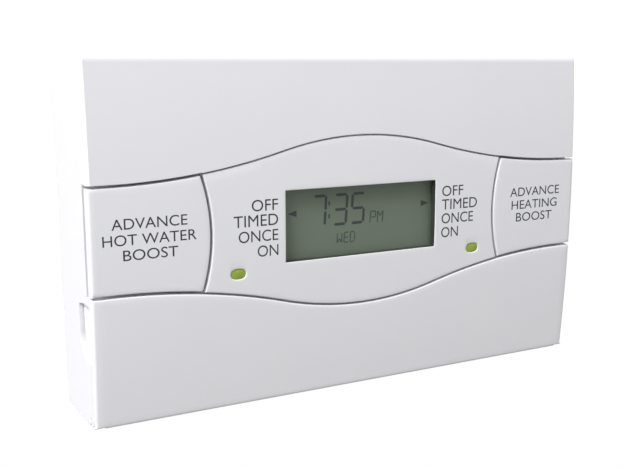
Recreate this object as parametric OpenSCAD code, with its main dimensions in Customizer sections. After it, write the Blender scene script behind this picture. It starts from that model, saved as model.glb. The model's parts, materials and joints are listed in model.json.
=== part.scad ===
// Two-channel heating and hot-water programmer for a wall.
// X runs across the case, +Z is up, the front faces -Y and the wall is the plane y = 0.
// The origin is the centre of the wall plate's two fixing slots, on the wall.

/* [Case] */
// Width of the case
case_w = 140; // [132:1:170]
// Height of the case
case_h = 86; // [84:1:104]
// Depth from the wall to the crown of the front
case_d = 27.2; // [27.2:0.2:34]
// How far the front bulges between its top and bottom edges
crown = 1.76; // [0.8:0.02:2.2]
// Wall thickness of the front housing
wall = 2.2; // [1.6:0.1:2.6]
// Gap between the case's rear rim and the wall
rim_gap = 1; // [0.5:0.1:1.5]
// Radius along the top front edge
top_edge_r = 2; // [1:0.1:3]
// Radius along the side and bottom front edges
side_edge_r = 0.8; // [0.3:0.1:1.2]
// Radius of the two top corners in front view
top_corner_r = 2.5; // [1:0.1:4]

/* [Middle band] */
// Height of the band's centre line
band_z = 1.3; // [-1:0.1:3]
// Half height of the band at the middle of the case
band_crest = 21.7; // [20:0.1:24]
// Half height of the band at the sides
band_end = 12.6; // [11:0.1:14]
// Where the band's edge turns from convex to concave
bend_x = 22; // [16:0.5:26]
// Where the band's edge becomes level
level_x = 66; // [58:0.5:66]
// Half width of the display panel at its waist
panel_half_w = 41.2; // [38:0.1:46]
// Radius of the seam between a big button and the display panel
seam_r = 45.6; // [36:0.2:60]

/* [Seams] */
// Clearance round each big button
button_gap = 0.65; // [0.5:0.05:0.9]
// Clearance round the display panel
panel_gap = 0.45; // [0.2:0.05:0.6]
// Clearance above the flap
flap_gap = 0.7; // [0.4:0.05:1]
// General clearance between pieces that must not touch
fit = 0.3; // [0.2:0.05:0.4]

/* [Display] */
// Width of the display window
window_w = 44; // [38:0.5:50]
// Height of the display window
window_h = 17.9; // [14:0.1:20]
// Thickness of the display panel
panel_t = 1.8; // [1.4:0.1:2.2]
// Width of a status lens
lens_w = 3.9; // [3:0.1:5]
// Height of a status lens
lens_h = 2.6; // [2:0.1:3]
// Distance of a status lens from the middle
lens_x = 34.6; // [33:0.1:35.5]

/* [Buttons and keys] */
// Travel of the two big buttons
button_travel = 1.2; // [0.8:0.1:1.4]
// Thickness of a big button's face
button_t = 2; // [1.6:0.1:2.2]
// Width of an oblong programming key
key_w = 9; // [7:0.5:11]
// Height of a programming key
key_h = 4.6; // [4:0.1:6]
// Diameter of the two round select keys
select_d = 7; // [5:0.5:8]
// Distance between neighbouring oblong keys
key_pitch = 15; // [13:0.5:16]
// Travel of a programming key
key_travel = 0.5; // [0.3:0.05:0.6]

/* [Flap] */
// Thickness of the flap
flap_t = 1.8; // [1.4:0.1:2.2]
// Height of the hinge pin above the underside
pin_up = 1.7; // [1.7:0.1:2.2]
// Diameter of the hinge pin
pin_d = 1.3; // [1:0.1:1.5]
// Running clearance round the hinge pin, on the radius
pin_play = 0.07; // [0.04:0.01:0.1]
// How far the flap's side tabs sit in from the side of the case
tab_inset = 1; // [0.6:0.1:1.2]

/* [Wall plate] */
// Distance between the two fixing slots
fixing_pitch = 60.3; // [50:0.1:70]
// Width of a fixing slot
slot_w = 4.6; // [4:0.1:5.2]
// Length of a fixing slot, end to end
slot_l = 9; // [7:0.5:12]
// Thickness of the wall plate
plate_t = 2.2; // [1.8:0.1:2.4]
// Width of the cable entry
entry_w = 40; // [30:1:44]
// Height of the cable entry
entry_h = 15; // [10:1:16]
// Distance between neighbouring terminals
terminal_pitch = 10; // [9:0.5:10]
// Number of live terminals
terminals = 6; // [4:1:6]

/* [Circuit board] */
// Thickness of the circuit board
board_t = 1.6; // [1:0.1:1.6]
// Height of a relay off the board
relay_h = 9.8; // [8:0.1:9.8]

/* [Hidden] */

$fn = 96;
white = [0.90, 0.90, 0.91];
off_white = [0.82, 0.83, 0.84];
lcd_grey = [0.45, 0.49, 0.43];
clear_tint = [0.75, 0.80, 0.78, 0.5];
lens_green = [0.55, 0.68, 0.16];
board_green = [0.10, 0.35, 0.20];
black = [0.10, 0.10, 0.11];
steel = [0.72, 0.73, 0.75];
brass = [0.78, 0.64, 0.30];
relay_blue = [0.12, 0.22, 0.45];
film_yellow = [0.80, 0.66, 0.15];
sleeve_green = [0.2, 0.5, 0.3];

big = 400;
eps = 0.01;
half_w = case_w / 2;
half_h = case_h / 2;

// The front is part of a cylinder about a line parallel to X, behind the wall.
front_r = (half_h * half_h / crown + crown) / 2;
front_axis_y = front_r - case_d;
function front_y(z) = front_axis_y - sqrt(front_r * front_r - z * z);
arc_steps = 24;
edge_steps = 6;
arc_reach = asin((half_h + 1) / front_r);

// Where each piece's edge lies, measured outwards from the band's own line.
housing_edge = button_gap / 2;
button_edge = -button_gap / 2;
panel_edge = housing_edge - panel_gap;
flap_edge = flap_gap - 0.3;

// Depths of the housing's inner floors, from the wall.
seat_y = -case_d + panel_t + 0.1;
seat_t = 1.5;
seat_hollow = [36, 13];
pocket_y = -case_d + button_t + 2.1;
pocket_t = 1.5;
deck_y = -case_d + 5.2;
deck_t = 1.6;
seam_wall = 1.5;

// Hinge pin's axis.
pin_y = deck_y - 0.8;
pin_z = -half_h + pin_up;
barrel_r = pin_up;
relief_r = 3.6;
nose_r = pin_d / 2 + pin_play + 0.68;

// The tab that a finger pulls, and the cut in the case's side for it.
tab_t = 1.8;
cut_back = 7;
cut_r = 5.3;
cut_low_z = -half_h + 21;
cut_top_r = band_low(half_w) - seam_wall - 0.8 - pin_z;
cut_wall = 1.4;
tab_play = 0.4;
stop_x = 45;
stop_z = -17.3;

// The circuit board and what stands on it.
board_y = -case_d + 10.4;
board_w = 114;
board_top = 30;
board_bottom = -half_h + 6;
board_rear_y = board_y + board_t;
key_z = band_z - band_crest - 9.1;
key_play = 0.25;
key_flange = 0.8;
select_x = 3.45 * key_pitch;
reset_x = 2.65 * key_pitch;
button_stem_x = 53;
stem_r = 2.5;
leg = [3.6, 1.2];
leg_x = button_stem_x + 8;
leg_z = 8;
leg_hook = 0.9;
leg_play = 0.4;

// The rear housing's three floors.
floor_t = 1.5;
deep_y = -11;
mid_y = -3.6;
step_z = -3;
low_step_z = -31;
rear_rim_y = -2;
rear_wall = 1.5;
rear_clear = 0.3;
rear_half_w = half_w - wall - rear_clear;
rear_half_h = half_h - wall - rear_clear;

boss_r = 2.8;
post_r = 2.4;
case_screw_r = 1.2;
pilot_r = case_screw_r;
board_pilot_r = 0.9;
driver_r = 1.9;
boss_x = half_w - 9;
boss_top_z = half_h - 7;
boss_low_z = -half_h + 7.9;
post_top = [50, 26];
post_low = [44, -half_h + 9];
rib_low_z = band_z + band_crest + 2;

// Display stack, from the panel back to the board.
window_z = band_z;
lens_t = 1.2;
glass_front_y = seat_y + lens_t + 0.05;
glass_t = 2.2;
glass_w = window_w + 4;
glass_h = window_h + 4;
frame_wall = 1.2;
frame_w = glass_w + 2 * frame_wall + 0.2;
frame_h = glass_h + 2 * frame_wall + 0.2;
clip_half_w = 4;
clip_t = 1.2;
clip_hook = 1.1;
clip_back = pocket_y + pocket_t + 1.4;
clip_z = band_crest - 2.65;
end_clip_x = panel_half_w - 3.05;

lens_z = band_z - 10.55;
cell_z = 25.2;
terminal_z = 24;
blade_z = terminal_z - 2.5;
earth_x = 42;
mode_x = 20;
mode_z = -24.5;
mode_travel = 4;
mode_slot = [4.3, 1.8];
mode_h = 6.2;
plate_half_w = half_w - 10;
plate_top = half_h - 5;
plate_bottom = -half_h + 6;
lug_x = 40;
lug_screw_y = -5.6;

function terminal_x(i) = (i - (terminals - 1) / 2) * terminal_pitch;
function band_low(x) = band_z - band_half(x);

// Half height of the band at x: two arcs that meet at bend_x and level out at level_x.
drop = band_crest - band_end;
arc_a = 2 * atan(drop / level_x);
crest_r = bend_x / sin(arc_a);
fillet_r = (level_x - bend_x) / sin(arc_a);
crest_steps = 7;
fillet_steps = 10;
function band_half(x) =
    abs(x) < bend_x ? band_crest - crest_r + sqrt(crest_r * crest_r - x * x)
    : abs(x) < level_x ? band_end + fillet_r
        - sqrt(fillet_r * fillet_r - (level_x - abs(x)) * (level_x - abs(x)))
    : band_end;

// ---- helpers ----

// A front-view outline (x across, y up) made solid from y_front back to y_back.
module slab(y_front, y_back) {
    translate([0, y_back, 0]) rotate([90, 0, 0]) linear_extrude(y_back - y_front) children();
}

// A side-view outline (x is depth y, y is height z) made solid from x0 to x1.
module across(x0, x1) {
    translate([x0, 0, 0]) rotate([90, 0, 90]) linear_extrude(x1 - x0) children();
}

// A round rod along Y.
module rod_y(x, z, r, y_front, y_back) {
    translate([x, y_back, z]) rotate([90, 0, 0]) cylinder(r = r, h = y_back - y_front);
}

// A round rod along X.
module rod_x(y, z, r, x0, x1) {
    translate([x0, y, z]) rotate([0, 90, 0]) cylinder(r = r, h = x1 - x0);
}

// A block given by its low and high corners.
module block(lo, hi) {
    translate(lo) cube(hi - lo);
}

// A bar with round ends, in front view.
module oblong(w, h) {
    square([w - h, h], center = true);
    for (s = [-1, 1]) translate([s * (w - h) / 2, 0]) circle(d = h);
}

module both_sides() {
    children();
    mirror([1, 0, 0]) children();
}

// ---- the shared outer form ----

// Front view of the case: square at the bottom, rounded at the top corners.
module front_outline(inset = 0) {
    r = top_corner_r;
    w = half_w - inset;
    h = half_h - inset;
    translate([-w, -h]) square([2 * w, 2 * h - r]);
    translate([-w + r, -h]) square([2 * (w - r), 2 * h]);
    for (s = [-1, 1]) translate([s * (w - r), h - r]) circle(r = r);
}

// Where the front's arc meets the rounding of an edge of radius r, as an angle at its axis.
function edge_angle(r) = asin((half_h - r) / (front_r - r));

// The rounding of radius r between the front and the top, from the top down.
function edge_points(r) =
    let (a = edge_angle(r),
         cy = front_axis_y - (front_r - r) * cos(a))
    [for (i = [0 : edge_steps]) let (t = 90 + (90 - a) * i / edge_steps)
        [cy + r * cos(t), half_h - r + r * sin(t)]];

// The front's arc at radius r, from below the case to above it.
function arc_points(r, low = -arc_reach, high = arc_reach) =
    [for (i = [0 : arc_steps]) let (a = arc_reach * (2 * i / arc_steps - 1))
        if (a > low - eps && a < high + eps) [front_axis_y - r * cos(a), r * sin(a)]];

function flipped(points) = [for (p = points) [p.x, -p.y]];
function reversed(points) = [for (i = [len(points) - 1 : -1 : 0]) points[i]];

// Side view of the case with the top and bottom front edges rounded.
module side_outline() {
    margin = 0.1;
    polygon(concat(
        [[-rim_gap, -half_h]],
        flipped(edge_points(side_edge_r)),
        arc_points(front_r, margin - edge_angle(side_edge_r), edge_angle(top_edge_r) - margin),
        reversed(edge_points(top_edge_r)),
        [[-rim_gap, half_h]]));
}

// The space behind the front's arc at radius r, w to each side.
module front_drum(r, w) {
    reach = half_h + 1;
    across(-w, w) polygon(concat(arc_points(r), [[5, reach], [5, -reach]]));
}

// What a bevel takes off the front edge of the case's right side.
module side_edge_cut() {
    e = side_edge_r;
    translate([0, front_axis_y, 0]) rotate([0, 90, 0])
        rotate_extrude(angle = 16, start = 262, $fn = 1440)
            polygon([[front_r - e, half_w + 0.2], [front_r - e, half_w], [front_r, half_w - e],
                [front_r + 0.2, half_w - e], [front_r + 2, half_w + 2]]);
}

// The closed outer form of the whole module, out of which every front piece is cut.
module outer_form() {
    difference() {
        intersection() {
            slab(-case_d - 1, -rim_gap) front_outline();
            across(-half_w, half_w) side_outline();
        }
        both_sides() side_edge_cut();
    }
}

// The outer form's skin between two depths below the front.
module front_skin(depth) {
    difference() {
        outer_form();
        front_drum(front_r - depth, half_w + 1);
    }
}

// ---- outlines in front view ----

// The right half of the band's upper edge, grown by g: crest arc, hollow arc, level run.
function band_edge(g) = concat(
    [for (i = [0 : crest_steps]) let (t = arc_a * i / crest_steps)
        [(crest_r + g) * sin(t), band_crest - crest_r + (crest_r + g) * cos(t)]],
    [for (i = [1 : fillet_steps]) let (t = arc_a * (1 - i / fillet_steps))
        [level_x - (fillet_r - g) * sin(t), band_end + fillet_r - (fillet_r - g) * cos(t)]],
    [[half_w + 5, band_end + g]]);

// The middle band, grown by g all round. It runs past both sides of the case.
module band_shape(g = 0) {
    right = band_edge(g);
    left = [for (i = [len(right) - 1 : -1 : 1]) [-right[i].x, right[i].y]];
    upper = concat(left, right);
    translate([0, band_z]) polygon(concat(upper, reversed(flipped(upper))));
}

// The disc that gives the right button its curved inner end, grown by g.
module seam_disc(g = 0) {
    translate([panel_half_w + seam_r, band_z]) circle(r = seam_r + g, $fn = 360);
}

module button_outline(g = 0) {
    intersection() {
        band_shape(g);
        seam_disc(g);
        translate([0, -half_h]) square([half_w + 5, case_h]);
    }
}

module panel_outline(g = 0) {
    difference() {
        band_shape(g);
        for (s = [0, 1]) mirror([s, 0]) {
            seam_disc(-g);
            translate([half_w - 12, -half_h]) square([half_w, case_h]);
        }
    }
}

// Everything below the band's lower edge moved down by g.
module below_band(g = 0) {
    difference() {
        translate([-half_w - 1, -half_h - 1]) square([case_w + 2, half_h + 1 + band_z]);
        band_shape(g);
    }
}

// ---- front housing ----

// Side view of the finger cut: its top edge is an arc about the hinge pin.
module finger_cut(g = 0) {
    back_y = pin_y + cut_back;
    cy = back_y - cut_r;
    intersection() {
        translate([pin_y, pin_z]) circle(r = cut_top_r + g, $fn = 360);
        union() {
            translate([cy, cut_low_z]) circle(r = cut_r + g);
            translate([-case_d - 5, cut_low_z]) square([back_y + g + case_d + 5, big]);
            translate([-case_d - 5, cut_low_z - cut_r - g])
                square([cy + case_d + 5, cut_r + g]);
        }
    }
}

module housing_hollow() {
    w = half_w - wall;
    h = half_h - wall;
    block([-w, deck_y + deck_t, -h], [w, 0, h]);
    // in front of the key deck's rear face there is a hollow only above the flap
    slab(pocket_y + pocket_t, deck_y + deck_t + eps) difference() {
        square([2 * w, 2 * h], center = true);
        below_band(housing_edge + seam_wall);
    }
    // behind the display panel's seat
    block([-seat_hollow.x, seat_y + seat_t, band_z - seat_hollow.y],
        [seat_hollow.x, pocket_y + pocket_t + eps, band_z + seat_hollow.y]);
    // above the band it reaches the back of the front wall
    intersection() {
        slab(-case_d, pocket_y + pocket_t + eps) difference() {
            translate([-w, band_z]) square([2 * w, h - band_z]);
            band_shape(housing_edge + seam_wall);
        }
        front_drum(front_r - wall, half_w);
    }
}

module housing_front_cuts() {
    // pockets under the big buttons, open at the sides
    both_sides() slab(-case_d - 2, pocket_y) button_outline(housing_edge);
    // seat of the display panel, with openings for the display frame and the light guides
    slab(-case_d - 2, seat_y) panel_outline(housing_edge - 0.1);
    both_sides() translate([lens_x, 0, lens_z])
        slab(-case_d, board_y) lens_outline(0.5 + fit);
    slab(-case_d, board_y) translate([0, window_z])
        square([frame_w + 2 * fit, frame_h + 2 * fit], center = true);
    // slots for the display panel's clips
    slot_half_l = clip_half_w + fit;
    slot_half_w = clip_t / 2 + fit;
    for (s = [-1, 1]) {
        z = band_z + s * (clip_z - clip_t / 2);
        x = s * (end_clip_x - clip_t / 2);
        block([-slot_half_l, -case_d, z - slot_half_w], [slot_half_l, board_y, z + slot_half_w]);
        block([x - slot_half_w, -case_d, band_z - slot_half_l],
            [x + slot_half_w, board_y, band_z + slot_half_l]);
    }
    // the flap's recess, deep over the key deck and shallow in front of the side walls
    slab(-case_d - 2, deck_y) intersection() {
        below_band(housing_edge + seam_wall);
        square([case_w - 2 * wall, 2 * case_h], center = true);
    }
    difference() {
        slab(-case_d - 2, -case_d + 8) below_band(housing_edge - 0.2);
        front_drum(front_r - flap_t - fit, half_w + 1);
    }
    // finger cuts
    both_sides() across(half_w - tab_inset - tab_t - fit, half_w + 1) finger_cut();
    // room for the flap's rolled edge to turn
    rod_x(pin_y, pin_z, relief_r, -half_w + wall, half_w - wall);
    both_sides() across(half_w - wall - eps, half_w + 1) nose_relief();
}

// Side view of the space that the flap's ends sweep round the hinge noses.
module nose_relief() {
    translate([pin_y, pin_z]) difference() {
        intersection() {
            circle(r = relief_r);
            polygon([[0, 0], [-8, 0], [-8, -8], [8, -8], [8, -7]]);
        }
        circle(r = nose_r);
    }
}

module key_hole(w, h, x) {
    translate([x, 0, key_z]) slab(deck_y - 1, deck_y + deck_t + 1)
        oblong(w + 2 * key_play, h + 2 * key_play);
}

module front_housing() {
    color(white) difference() {
        union() {
            difference() {
                outer_form();
                housing_hollow();
            }
            // trough behind the flap's rolled edge
            intersection() {
                rod_x(pin_y, pin_z, relief_r + 1.5, -half_w + wall / 2, half_w - wall / 2);
                outer_form();
            }
            // boxes round the finger cuts
            both_sides() block([half_w - tab_inset - tab_t - fit - cut_wall, deck_y + eps,
                    cut_low_z - cut_r - cut_wall],
                [half_w - wall + eps, pin_y + cut_back + cut_wall, band_low(half_w) - 0.5]);
            // bosses for the case screws
            for (s = [-1, 1]) {
                rod_y(s * boss_x, boss_top_z, boss_r, front_y(boss_top_z) + wall / 2,
                    deep_y - floor_t);
                rod_y(s * boss_x, boss_low_z, boss_r, deck_y + deck_t / 2, deep_y - floor_t);
                // posts that carry the board
                rod_y(s * post_top.x, post_top.y, post_r, front_y(post_top.y) + wall / 2, board_y);
                rod_y(s * post_low.x, post_low.y, post_r, deck_y + deck_t / 2, board_y);
            }
            // ribs that stiffen the upper wall
            for (x = [-34 : 17 : 34]) block([x - 0.5, -case_d + wall, rib_low_z],
                [x + 0.5, -case_d + wall + 1.3, half_h - wall / 2]);
        }
        housing_front_cuts();
        // stems and guide legs of the big buttons
        both_sides() {
            rod_y(button_stem_x, band_z, stem_r + leg_play, pocket_y - 1, pocket_y + pocket_t + 1);
            for (z = [-1, 1]) slab(pocket_y - 1, pocket_y + pocket_t + 1)
                translate([leg_x, band_z + leg_z * z])
                    square([leg.x + 2 * leg_play, leg.y + 2 * (leg_hook + 0.1)], center = true);
        }
        // keys and the reset hole
        for (i = [-2 : 2]) key_hole(key_w, key_h, i * key_pitch);
        for (s = [-1, 1]) key_hole(select_d + eps, select_d, s * select_x);
        rod_y(reset_x, key_z, 0.9, deck_y - 1, deck_y + deck_t + 1);
        // pilot holes
        for (s = [-1, 1]) {
            for (z = [boss_top_z, boss_low_z])
                rod_y(s * boss_x, z, pilot_r, deep_y - floor_t - 7, deep_y - floor_t + 1);
            for (p = [post_top, post_low])
                rod_y(s * p.x, p.y, board_pilot_r, board_y - 3.2, board_y + 1);
            // driver holes under the retaining screws
            translate([s * lug_x, lug_screw_y, -half_h - 1]) cylinder(r = driver_r, h = wall + 2);
        }
        // hinge pin bores
        rod_x(pin_y, pin_z, pin_d / 2 + pin_play, -half_w - 1, half_w + 1);
    }
    // hinge noses that carry the pin
    color(white) both_sides() difference() {
        intersection() {
            rod_x(pin_y, pin_z, nose_r, half_w - wall, half_w);
            outer_form();
        }
        rod_x(pin_y, pin_z, pin_d / 2 + pin_play, half_w - wall - 1, half_w + 1);
    }
}

// ---- display panel and what sits in it ----

module lens_outline(g = 0) {
    oblong(lens_w + 2 * g, lens_h + 2 * g);
}

module display_fascia() {
    color(white) difference() {
        union() {
            intersection() {
                difference() {
                    outer_form();
                    slab(seat_y, 0) square([2 * case_w, 2 * case_h], center = true);
                }
                // the ends stand clear of the buttons
                slab(-case_d - 2, seat_y) difference() {
                    panel_outline(panel_edge);
                    for (s = [0, 1]) mirror([s, 0]) seam_disc(button_gap / 2);
                }
            }
            // clips behind the panel
            for (s = [-1, 1]) {
                translate([0, 0, band_z]) mirror([0, 0, s > 0 ? 1 : 0]) clip();
                translate([0, 0, band_z]) mirror([s > 0 ? 1 : 0, 0, 0]) end_clip();
            }
        }
        translate([0, 0, window_z]) slab(-case_d - 2, 0) square([window_w, window_h], center = true);
        for (s = [-1, 1]) translate([s * lens_x, 0, lens_z]) {
            slab(-case_d - 2, 0) lens_outline(0.1);
            slab(-case_d - 2, front_y(lens_z) + 0.35) lens_outline(0.55);
        }
    }
}

// A clip at the top of the panel, hooked behind the housing's ledge.
module clip() {
    w = clip_half_w;
    block([-w, seat_y - eps, clip_z - clip_t], [w, clip_back, clip_z]);
    block([-w, clip_back - clip_t, clip_z - eps], [w, clip_back - fit, clip_z + clip_hook]);
}

// A clip at the panel's end.
module end_clip() {
    x = end_clip_x;
    w = clip_half_w;
    block([x - clip_t, seat_y - eps, -w], [x, clip_back, w]);
    block([x - eps, clip_back - clip_t, -w], [x + clip_hook - 0.1, clip_back - fit, w]);
}

module display_window() {
    color(clear_tint) translate([0, 0, window_z]) {
        slab(seat_y + 0.05, seat_y + lens_t) square([window_w + 6, window_h + 6], center = true);
    }
}

module lcd_panel() {
    color(lcd_grey) translate([0, 0, window_z]) {
        slab(glass_front_y, glass_front_y + glass_t / 2) square([glass_w, glass_h - 2], center = true);
        slab(glass_front_y + glass_t / 2, glass_front_y + glass_t)
            square([glass_w, glass_h], center = true);
    }
}

// Frame that holds the glass off the board, with the contact strip's slot along its foot.
module lcd_frame() {
    color(black) translate([0, 0, window_z]) difference() {
        slab(glass_front_y, board_y) square([frame_w, frame_h], center = true);
        slab(glass_front_y - 1, glass_front_y + glass_t)
            square([glass_w + 0.2, glass_h + 0.2], center = true);
        slab(glass_front_y, board_y + 1) square([glass_w - 4, glass_h - 4], center = true);
    }
}

module light_guide() {
    color(lens_green) translate([0, 0, lens_z]) {
        slab(front_y(lens_z) + 0.2, seat_y + 0.1) lens_outline();
        slab(seat_y + 0.1, board_y - 1.2) lens_outline(0.5);
    }
}

module left_light_guide() {
    translate([-lens_x, 0, 0]) light_guide();
}

module right_light_guide() {
    translate([lens_x, 0, 0]) light_guide();
}

// ---- big buttons ----

module big_button() {
    rear_y = -case_d + button_t + 0.2;
    stem_tip = board_y - 5 - button_travel - 0.1;
    leg_back = pocket_y + pocket_t + 0.05;
    color(white) {
        intersection() {
            outer_form();
            slab(-case_d - 2, rear_y) button_outline(button_edge);
        }
        rod_y(button_stem_x, band_z, stem_r, rear_y - eps, stem_tip);
        for (z = [-1, 1]) translate([leg_x, 0, band_z + leg_z * z]) {
            slab(rear_y - eps, leg_back + 1) square(leg, center = true);
            translate([0, 0, z * leg_hook]) slab(leg_back, leg_back + 0.9)
                square(leg, center = true);
        }
    }
}

// ---- flap ----

module flap() {
    color(white) difference() {
        union() {
            intersection() {
                front_skin(flap_t);
                slab(-case_d - 2, 0) below_band(flap_edge);
            }
            intersection() {
                outer_form();
                union() {
                    rod_x(pin_y, pin_z, barrel_r, -half_w + wall + fit, half_w - wall - fit);
                    // the corner between the rolled edge and the panel
                    block([-half_w + wall + fit, -case_d, -half_h],
                        [half_w - wall - fit, pin_y, pin_z]);
                }
            }
            // tabs in the finger cuts
            both_sides() across(half_w - tab_inset - tab_t, half_w - tab_inset) difference() {
                finger_cut(-tab_play);
                translate([-case_d - 10, -half_h])
                    square([case_d + 10 + front_y(half_h / 2) + 1, case_h]);
            }
            // stops along the top edge
            for (x = [-stop_x, stop_x])
                block([x - 3, front_y(stop_z), stop_z - 1.2], [x + 3, deck_y - tab_play, stop_z]);
        }
        // the ends keep clear of the hinge noses and stop short of the underside
        both_sides() across(half_w - wall - fit, half_w + 1) translate([pin_y, pin_z]) {
            circle(r = nose_r + fit);
            polygon([[0, 0], [-5.2, -3], [-5.2, -6], [6, -6], [6, 0]]);
        }
    }
    color(white) both_sides() rod_x(pin_y, pin_z, pin_d / 2, half_w - wall - fit - 0.5, half_w);
}

// ---- programming keys ----

// One key: a cap through the deck, a flange behind it and a stem to its switch.
module key_piece(w, h, x) {
    tip_y = board_y - 1.5 - key_travel - 0.05;
    color(off_white) translate([x, 0, key_z]) {
        slab(deck_y - 1, deck_y + deck_t + 0.1) oblong(w, h);
        slab(deck_y + deck_t + 0.1, deck_y + deck_t + 0.1 + key_flange)
            oblong(w + 2 * key_flange, h + 2 * key_flange);
        rod_y(0, 0, 1.2, deck_y + deck_t + key_flange, tip_y);
    }
}

module select_key_left() {
    key_piece(select_d + eps, select_d, -select_x);
}

module set_key() {
    key_piece(key_w, key_h, -2 * key_pitch);
}

module day_key() {
    key_piece(key_w, key_h, -key_pitch);
}

module minus_key() {
    key_piece(key_w, key_h, 0);
}

module plus_key() {
    key_piece(key_w, key_h, key_pitch);
}

module copy_key() {
    key_piece(key_w, key_h, 2 * key_pitch);
}

module select_key_right() {
    key_piece(select_d + eps, select_d, select_x);
}

// ---- circuit board and its parts ----

module circuit_board() {
    color(board_green) difference() {
        slab(board_y, board_rear_y) translate([-board_w / 2, board_bottom])
            square([board_w, board_top - board_bottom]);
        for (s = [-1, 1]) for (p = [post_top, post_low])
            rod_y(s * p.x, p.y, 1.2, board_y - 1, board_rear_y + 1);
    }
}

// A pan-head screw along Y: head at the back, shank forwards.
module screw_y(x, z, y_seat, shank_r, shank_l, head_r, head_h) {
    difference() {
        union() {
            rod_y(x, z, head_r, y_seat, y_seat + head_h);
            rod_y(x, z, shank_r, y_seat - shank_l, y_seat + eps);
        }
        for (a = [0, 90]) translate([x, y_seat + head_h, z]) rotate([0, a, 0])
            cube([head_r * 1.3, head_h, 0.5], center = true);
    }
}

module board_screws() {
    color(steel) for (s = [-1, 1]) for (p = [post_top, post_low])
        screw_y(s * p.x, p.y, board_rear_y, board_pilot_r - 0.05, board_t + 3, 2, 1.3);
}

module key_switches() {
    xs = concat([-select_x], [for (i = [-2 : 2]) i * key_pitch], [select_x, reset_x]);
    color(black) for (x = xs) {
        block([x - 2.2, board_y - 0.9, key_z - 2.2], [x + 2.2, board_y, key_z + 2.2]);
        rod_y(x, key_z, 1, board_y - 1.5, board_y - 0.9 + eps);
    }
}

module button_switches() {
    color(black) for (s = [-1, 1]) {
        block([s * button_stem_x - 3, board_y - 3.5, band_z - 3],
            [s * button_stem_x + 3, board_y, band_z + 3]);
        rod_y(s * button_stem_x, band_z, 1.7, board_y - 5, board_y - 3.5 + eps);
    }
}

module status_leds() {
    color(lens_green) for (s = [-1, 1]) translate([s * lens_x, 0, lens_z]) {
        slab(board_y - 0.6, board_y) square([3.2, 1.6], center = true);
        slab(board_y - 1.1, board_y - 0.6 + eps) square([2.2, 1.2], center = true);
    }
}

module microcontroller() {
    color(black) block([-6, board_rear_y, 2], [6, board_rear_y + 1.4, 14]);
    color(steel) for (i = [-5 : 5]) {
        block([i - 0.2, board_rear_y, 0.9], [i + 0.2, board_rear_y + 0.5, 2 + eps]);
        block([i - 0.2, board_rear_y, 14 - eps], [i + 0.2, board_rear_y + 0.5, 15.1]);
    }
}

module crystal() {
    color(steel) translate([12, board_rear_y, 8]) rotate([-90, 0, 0]) linear_extrude(2.2)
        rotate(90) oblong(9, 3.6);
}

module relay(x) {
    low = -27.5;
    size = [19, relay_h, 15.5];
    vent = 0.6;
    color(relay_blue) difference() {
        translate([x, board_rear_y, low]) cube(size);
        for (z = [low, low + size.z]) block([x - 1, board_rear_y - 1, z - vent],
            [x + size.x + 1, board_rear_y + vent, z + vent]);
    }
}

module water_relay() {
    relay(-54);
}

module heating_relay() {
    relay(-33);
}

module power_transformer() {
    x0 = 34;
    x1 = 50;
    limb = 3;
    base = board_rear_y + 2;
    color(black) block([x0, board_rear_y, -26], [x1, base, -13]);
    color(film_yellow) block([x0 + limb, base, -24], [x1 - limb, base + 6.6, -15]);
    color(black) for (x = [x0, x1 - limb]) block([x, base, -22], [x + limb, base + 6, -17]);
}

module mains_capacitor() {
    color(film_yellow) block([-11, board_rear_y, -27], [7, board_rear_y + 9, -20.5]);
}

module smoothing_capacitor() {
    y = board_rear_y + 4.2;
    color(black) rod_x(y, -13, 4, 16, 29);
    color(steel) rod_x(y, -13, 1.2, 13, 16);
}

module fuse() {
    y = board_rear_y + 2.6;
    color(off_white) rod_x(y, -13, 2.4, -9, 1);
    color(steel) for (x = [-11, 1]) rod_x(y, -13, 0.4, x, x + 2);
}

module backup_cell() {
    y = board_y - 3.5;
    end_x = -44;
    length = 22;
    tip = 1.2;
    color(sleeve_green) rod_x(y, cell_z, 3.3, end_x, end_x + length);
    color(steel) {
        rod_x(y, cell_z, tip, end_x + length - eps, end_x + length + tip);
        for (x = [end_x - 1, end_x + length + tip])
            block([x, y - 1.5, cell_z - 1], [x + 1, board_y, cell_z + 1]);
    }
}

module mode_switch() {
    color(black) translate([mode_x, board_rear_y, mode_z]) difference() {
        block([-7, 0, -3.2], [7, mode_h, 3.2]);
        block([-mode_slot.x, 3, -mode_slot.y], [mode_slot.x, mode_h + 1, mode_slot.y]);
    }
}

// The slider's knob, which reaches through the rear housing.
module mode_slider() {
    left = mode_x - mode_slot.x;
    half = mode_slot.y - fit;
    neck = board_rear_y + mode_h - 1;
    color(off_white) {
        block([left + 0.4, board_rear_y + 3.3, mode_z - half],
            [left + 2 * mode_slot.x - mode_travel - 0.4, neck, mode_z + half]);
        block([left + 0.7, neck - 0.1, mode_z - half],
            [left + 3.7, mid_y - 0.2, mode_z + half]);
    }
}

module contact_blades() {
    color(brass) for (i = [0 : terminals - 1]) translate([terminal_x(i), 0, 0]) {
        block([-0.4, board_rear_y, blade_z - 2], [0.4, deep_y + 6.4, blade_z + 2]);
        block([-1.4, board_rear_y, blade_z - 2], [1.4, board_rear_y + 0.8, blade_z + 2]);
    }
}

// ---- rear housing ----

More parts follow.
